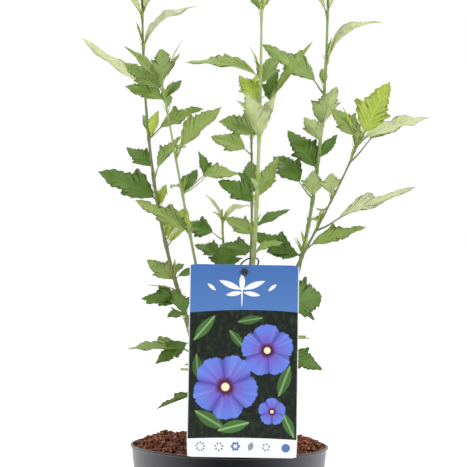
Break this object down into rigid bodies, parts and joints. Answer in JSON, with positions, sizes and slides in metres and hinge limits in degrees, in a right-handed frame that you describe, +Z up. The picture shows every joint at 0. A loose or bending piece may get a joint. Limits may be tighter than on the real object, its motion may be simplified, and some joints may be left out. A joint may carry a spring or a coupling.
{
  "type": "hibiscus shrub in nursery pot",
  "caption": "Young upright hibiscus shrub with leafy canes in a round tapered nursery pot, with a plain hanging label card.",
  "frame": {"origin": "centre of the pot's flat underside, on the surface that the pot stands on", "axes": "+Z up along the pot's axis, -Y towards the side that the label card hangs on, +X to the right as seen from that side"},
  "size_m": [0.3372, 0.1911, 0.6775],
  "materials": {
    "pot_plastic": "satin",
    "potting_soil": "rough",
    "bark": "matte",
    "foliage": "satin",
    "label_plastic": "gloss",
    "tie_plastic": "matte"
  },
  "bodies": {
    "root": {"pot": "pot_plastic", "potting_soil": "potting_soil", "rootstock": "bark", "cane_left": "bark", "cane_left_inner": "bark", "cane_centre": "bark", "cane_centre_back": "bark", "cane_right": "bark", "cane_right_outer": "bark", "cane_short": "bark", "shoot_left": "foliage", "shoot_left_inner": "foliage", "shoot_centre": "foliage", "shoot_centre_back": "foliage", "shoot_right": "foliage", "shoot_right_outer": "foliage", "shoot_short": "foliage", "shoot_low_left": "foliage", "shoot_low_right": "foliage", "shoot_low_back": "foliage", "label_card": "label_plastic", "label_tie": "tie_plastic"}
  },
  "joints": []
}
